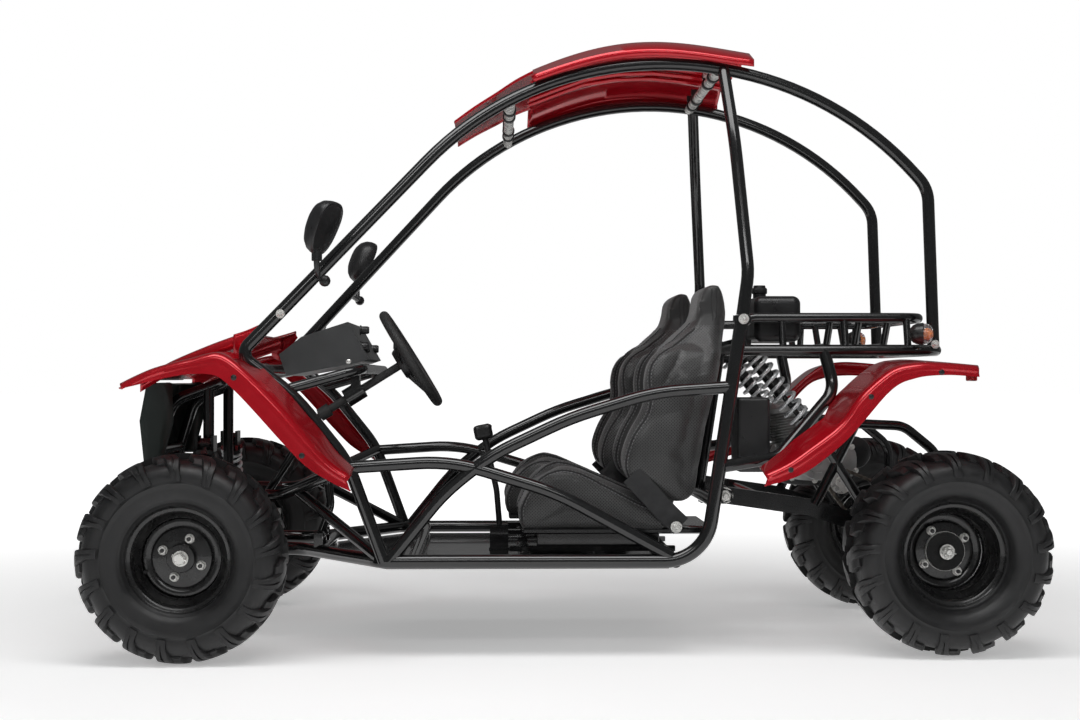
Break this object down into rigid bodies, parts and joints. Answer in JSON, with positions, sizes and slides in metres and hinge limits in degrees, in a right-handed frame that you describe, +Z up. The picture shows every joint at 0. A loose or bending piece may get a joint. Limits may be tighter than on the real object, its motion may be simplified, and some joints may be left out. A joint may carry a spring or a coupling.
{
  "type": "kart chassis",
  "caption": "Two-seat off-road kart: tube frame with roll cage, wishbone front and swing-arm rear suspension, steering, chain drive, seats, fenders and roof panel.",
  "frame": {"origin": "on the ground, midway between the front and rear axles and midway across", "axes": "+X forward to the nose, +Y to the driver's left, +Z up"},
  "size_m": [2.0759, 1.184, 1.356],
  "materials": {
    "frame_black": "gloss",
    "red_plastic": "gloss",
    "black_plastic": "satin",
    "grey_plastic": "satin",
    "lamp_black": "gloss",
    "soft_grip": "matte",
    "zinc_steel": "satin",
    "tyre_rubber": "matte",
    "rim_black": "satin",
    "engine_alloy": "satin",
    "shock_black": "gloss",
    "spring_silver": "gloss",
    "seat_leather": "satin"
  },
  "bodies": {
    "root": {"floor_frame": "frame_black", "side_bars": "frame_black", "front_frame": "frame_black", "roll_cage": "frame_black", "rear_frame": "frame_black", "floor_pan": "frame_black", "front_fenders": "red_plastic", "rear_fenders": "red_plastic", "hood_panel": "red_plastic", "nose_cover": "black_plastic", "roof_panel": "red_plastic", "dash_panel": "grey_plastic", "fuel_tank": "black_plastic", "battery_box": "black_plastic", "rear_lamps": "lamp_black", "steering_mounts": "frame_black"},
    "fuel_cap": {"fuel_cap": "black_plastic"},
    "steering": {"steering_wheel": "soft_grip"},
    "lower_shaft": {"steering_shaft": "frame_black"},
    "rack": {"steering_rack": "zinc_steel"},
    "swing_arm": {"swing_arm": "frame_black", "engine": "engine_alloy", "drive_chain": "zinc_steel"},
    "rear_axle": {"rear_axle": "zinc_steel", "rear_tyres": "tyre_rubber", "rear_rims": "rim_black"},
    "drive_sprocket": {"drive_sprocket": "zinc_steel"},
    "brake_pedal": {"brake_pedal": "frame_black"},
    "throttle_pedal": {"throttle_pedal": "frame_black"},
    "hand_lever": {"hand_lever": "black_plastic"},
    "seat_left": {"seat_left": "seat_leather"},
    "seat_right": {"seat_right": "seat_leather"},
    "lower_arm_left": {"lower_arm_left": "frame_black"},
    "upper_arm_left": {"upper_arm_left": "frame_black"},
    "kingpin_carrier_left": {"kingpin_carrier_left": "frame_black"},
    "knuckle_left": {"knuckle_left": "zinc_steel"},
    "front_wheel_left": {"front_tyre_left": "tyre_rubber", "front_rim_left": "rim_black"},
    "tie_rod_left": {"tie_rod_left": "zinc_steel"},
    "front_shock_upper_left": {"front_shock_body_left": "shock_black", "front_spring_left": "spring_silver"},
    "front_shock_lower_left": {"front_shock_rod_left": "shock_black"},
    "rear_shock_upper_left": {"rear_shock_body_left": "shock_black", "rear_spring_left": "spring_silver"},
    "rear_shock_lower_left": {"rear_shock_rod_left": "shock_black"},
    "mirror_left": {"mirror_left": "black_plastic"},
    "lower_arm_right": {"lower_arm_right": "frame_black"},
    "upper_arm_right": {"upper_arm_right": "frame_black"},
    "kingpin_carrier_right": {"kingpin_carrier_right": "frame_black"},
    "knuckle_right": {"knuckle_right": "zinc_steel"},
    "front_wheel_right": {"front_tyre_right": "tyre_rubber", "front_rim_right": "rim_black"},
    "tie_rod_right": {"tie_rod_right": "zinc_steel"},
    "front_shock_upper_right": {"front_shock_body_right": "shock_black", "front_spring_right": "spring_silver"},
    "front_shock_lower_right": {"front_shock_rod_right": "shock_black"},
    "rear_shock_upper_right": {"rear_shock_body_right": "shock_black", "rear_spring_right": "spring_silver"},
    "rear_shock_lower_right": {"rear_shock_rod_right": "shock_black"},
    "mirror_right": {"mirror_right": "black_plastic"}
  },
  "joints": [
    {"name": "steering_turn", "type": "hinge", "parent": "root", "child": "steering", "pos_m": [0.353, 0.2, 0.641], "axis": [-0.848, 0, 0.53], "range_deg": [-110, 110]},
    {"name": "lower_shaft_turn", "type": "hinge", "parent": "root", "child": "lower_shaft", "pos_m": [0.569, 0.2, 0.506], "axis": [-0.5209, 0.3788, 0.765], "range_deg": [-111, 111]},
    {"name": "rack_slide", "type": "slide", "parent": "root", "child": "rack", "axis": [0, 1, 0], "range_m": [-0.0324, 0.0324]},
    {"name": "lower_arm_left_swing", "type": "hinge", "parent": "root", "child": "lower_arm_left", "pos_m": [0.818, 0.19, 0.19], "axis": [1, 0, 0], "range_deg": [-10, 12], "stiffness_Nm_per_rad": 1400, "springref_deg": -4.87},
    {"name": "upper_arm_left_swing", "type": "hinge", "parent": "root", "child": "upper_arm_left", "pos_m": [0.818, 0.19, 0.3], "axis": [1, 0, 0], "range_deg": [-11, 13]},
    {"name": "carrier_left_level", "type": "hinge", "parent": "lower_arm_left", "child": "kingpin_carrier_left", "pos_m": [0.818, 0.37, 0.168], "axis": [1, 0, 0], "range_deg": [-13, 11]},
    {"name": "tie_rod_left_swing", "type": "hinge", "parent": "rack", "child": "tie_rod_left", "pos_m": [0.728, 0.205, 0.274], "axis": [1, 0, 0], "range_deg": [-11, 13]},
    {"name": "knuckle_left_steer", "type": "hinge", "parent": "kingpin_carrier_left", "child": "knuckle_left", "pos_m": [0.818, 0.4, 0.22], "axis": [0, 0, 1], "range_deg": [-21, 21]},
    {"name": "front_wheel_left_spin", "type": "hinge", "parent": "knuckle_left", "child": "front_wheel_left", "pos_m": [0.818, 0.485, 0.22], "axis": [0, 1, 0], "continuous": true},
    {"name": "front_shock_left_tilt", "type": "hinge", "parent": "root", "child": "front_shock_upper_left", "pos_m": [0.818, 0.195, 0.447], "axis": [1, 0, 0], "range_deg": [-2.5, 2.5]},
    {"name": "front_shock_left_slide", "type": "slide", "parent": "front_shock_upper_left", "child": "front_shock_lower_left", "axis": [0, 0.398, -0.9174], "range_m": [-0.026, 0.022], "deforming": ["front_spring_left"]},
    {"name": "rear_shock_left_tilt", "type": "hinge", "parent": "root", "child": "rear_shock_upper_left", "pos_m": [-0.4045, 0.2, 0.672], "axis": [0, 1, 0], "range_deg": [-2, 2]},
    {"name": "rear_shock_left_slide", "type": "slide", "parent": "rear_shock_upper_left", "child": "rear_shock_lower_left", "axis": [-0.6188, 0, -0.7855], "range_m": [-0.03, 0.038], "deforming": ["rear_spring_left"]},
    {"name": "mirror_left_swivel", "type": "hinge", "parent": "root", "child": "mirror_left", "pos_m": [0.524, 0.486, 0.802], "axis": [0, 0, 1], "range_deg": [-30, 30]},
    {"name": "lower_arm_right_swing", "type": "hinge", "parent": "root", "child": "lower_arm_right", "pos_m": [0.818, -0.19, 0.19], "axis": [-1, 0, 0], "range_deg": [-10, 12], "stiffness_Nm_per_rad": 1400, "springref_deg": -4.87},
    {"name": "upper_arm_right_swing", "type": "hinge", "parent": "root", "child": "upper_arm_right", "pos_m": [0.818, -0.19, 0.3], "axis": [-1, 0, 0], "range_deg": [-11, 13]},
    {"name": "carrier_right_level", "type": "hinge", "parent": "lower_arm_right", "child": "kingpin_carrier_right", "pos_m": [0.818, -0.37, 0.168], "axis": [-1, 0, 0], "range_deg": [-13, 11]},
    {"name": "tie_rod_right_swing", "type": "hinge", "parent": "rack", "child": "tie_rod_right", "pos_m": [0.728, -0.205, 0.274], "axis": [-1, 0, 0], "range_deg": [-11, 13]},
    {"name": "knuckle_right_steer", "type": "hinge", "parent": "kingpin_carrier_right", "child": "knuckle_right", "pos_m": [0.818, -0.4, 0.22], "axis": [0, 0, 1], "range_deg": [-21, 21]},
    {"name": "front_wheel_right_spin", "type": "hinge", "parent": "knuckle_right", "child": "front_wheel_right", "pos_m": [0.818, -0.485, 0.22], "axis": [0, 1, 0], "continuous": true},
    {"name": "front_shock_right_tilt", "type": "hinge", "parent": "root", "child": "front_shock_upper_right", "pos_m": [0.818, -0.195, 0.447], "axis": [-1, 0, 0], "range_deg": [-2.5, 2.5]},
    {"name": "front_shock_right_slide", "type": "slide", "parent": "front_shock_upper_right", "child": "front_shock_lower_right", "axis": [0, -0.398, -0.9174], "range_m": [-0.026, 0.022], "deforming": ["front_spring_right"]},
    {"name": "rear_shock_right_tilt", "type": "hinge", "parent": "root", "child": "rear_shock_upper_right", "pos_m": [-0.4045, -0.2, 0.672], "axis": [0, 1, 0], "range_deg": [-2, 2]},
    {"name": "rear_shock_right_slide", "type": "slide", "parent": "rear_shock_upper_right", "child": "rear_shock_lower_right", "axis": [-0.6188, 0, -0.7855], "range_m": [-0.03, 0.038], "deforming": ["rear_spring_right"]},
    {"name": "mirror_right_swivel", "type": "hinge", "parent": "root", "child": "mirror_right", "pos_m": [0.524, -0.486, 0.802], "axis": [0, 0, 1], "range_deg": [-30, 30]},
    {"name": "swing_arm_swing", "type": "hinge", "parent": "root", "child": "swing_arm", "pos_m": [-0.355, 0, 0.333], "axis": [0, 1, 0], "range_deg": [-8, 6], "stiffness_Nm_per_rad": 6500, "springref_deg": -2.86},
    {"name": "rear_axle_spin", "type": "hinge", "parent": "swing_arm", "child": "rear_axle", "pos_m": [-0.818, 0, 0.22], "axis": [0, 1, 0], "continuous": true},
    {"name": "drive_sprocket_spin", "type": "hinge", "parent": "swing_arm", "child": "drive_sprocket", "pos_m": [-0.648, 0.1, 0.352], "axis": [0, 1, 0], "continuous": true},
    {"name": "brake_pedal_press", "type": "hinge", "parent": "root", "child": "brake_pedal", "pos_m": [0.56, 0.178, 0.238], "axis": [0, 1, 0], "range_deg": [0, 16], "stiffness_Nm_per_rad": 20, "springref_deg": -11.46},
    {"name": "throttle_pedal_press", "type": "hinge", "parent": "root", "child": "throttle_pedal", "pos_m": [0.56, 0.094, 0.238], "axis": [0, 1, 0], "range_deg": [0, 18], "stiffness_Nm_per_rad": 8, "springref_deg": -17.19},
    {"name": "hand_lever_shift", "type": "hinge", "parent": "root", "child": "hand_lever", "pos_m": [0.15, 0, 0.228], "axis": [0, 1, 0], "range_deg": [-14, 14]},
    {"name": "seat_left_slide", "type": "slide", "parent": "root", "child": "seat_left", "axis": [1, 0, 0], "range_m": [0, 0.1]},
    {"name": "seat_right_slide", "type": "slide", "parent": "root", "child": "seat_right", "axis": [1, 0, 0], "range_m": [-0.027, 0.073]},
    {"name": "fuel_cap_turn", "type": "hinge", "parent": "root", "child": "fuel_cap", "pos_m": [-0.453, 0.125, 0.8], "axis": [0, 0, 1], "range_deg": [0, 90]}
  ],
  "couplings": [
    {"joint": "lower_shaft_turn", "follows": "steering_turn", "ratio": 1},
    {"joint": "rack_slide", "follows": "steering_turn", "m_per_rad": -0.016364},
    {"joint": "upper_arm_left_swing", "follows": "lower_arm_left_swing", "ratio": 1},
    {"joint": "carrier_left_level", "follows": "lower_arm_left_swing", "ratio": -1},
    {"joint": "tie_rod_left_swing", "follows": "lower_arm_left_swing", "ratio": 1},
    {"joint": "knuckle_left_steer", "follows": "steering_turn", "ratio": 0.18182},
    {"joint": "front_shock_left_tilt", "follows": "lower_arm_left_swing", "ratio": 0.105},
    {"joint": "front_shock_left_slide", "follows": "lower_arm_left_swing", "m_per_rad": -0.1065},
    {"joint": "rear_shock_left_tilt", "follows": "swing_arm_swing", "ratio": 0.1},
    {"joint": "rear_shock_left_slide", "follows": "swing_arm_swing", "m_per_rad": -0.248},
    {"joint": "upper_arm_right_swing", "follows": "lower_arm_right_swing", "ratio": 1},
    {"joint": "carrier_right_level", "follows": "lower_arm_right_swing", "ratio": -1},
    {"joint": "tie_rod_right_swing", "follows": "lower_arm_right_swing", "ratio": 1},
    {"joint": "knuckle_right_steer", "follows": "steering_turn", "ratio": 0.18182},
    {"joint": "front_shock_right_tilt", "follows": "lower_arm_right_swing", "ratio": 0.105},
    {"joint": "front_shock_right_slide", "follows": "lower_arm_right_swing", "m_per_rad": -0.1065},
    {"joint": "rear_shock_right_tilt", "follows": "swing_arm_swing", "ratio": 0.1},
    {"joint": "rear_shock_right_slide", "follows": "swing_arm_swing", "m_per_rad": -0.248},
    {"joint": "drive_sprocket_spin", "follows": "rear_axle_spin", "ratio": 3.2308}
  ]
}
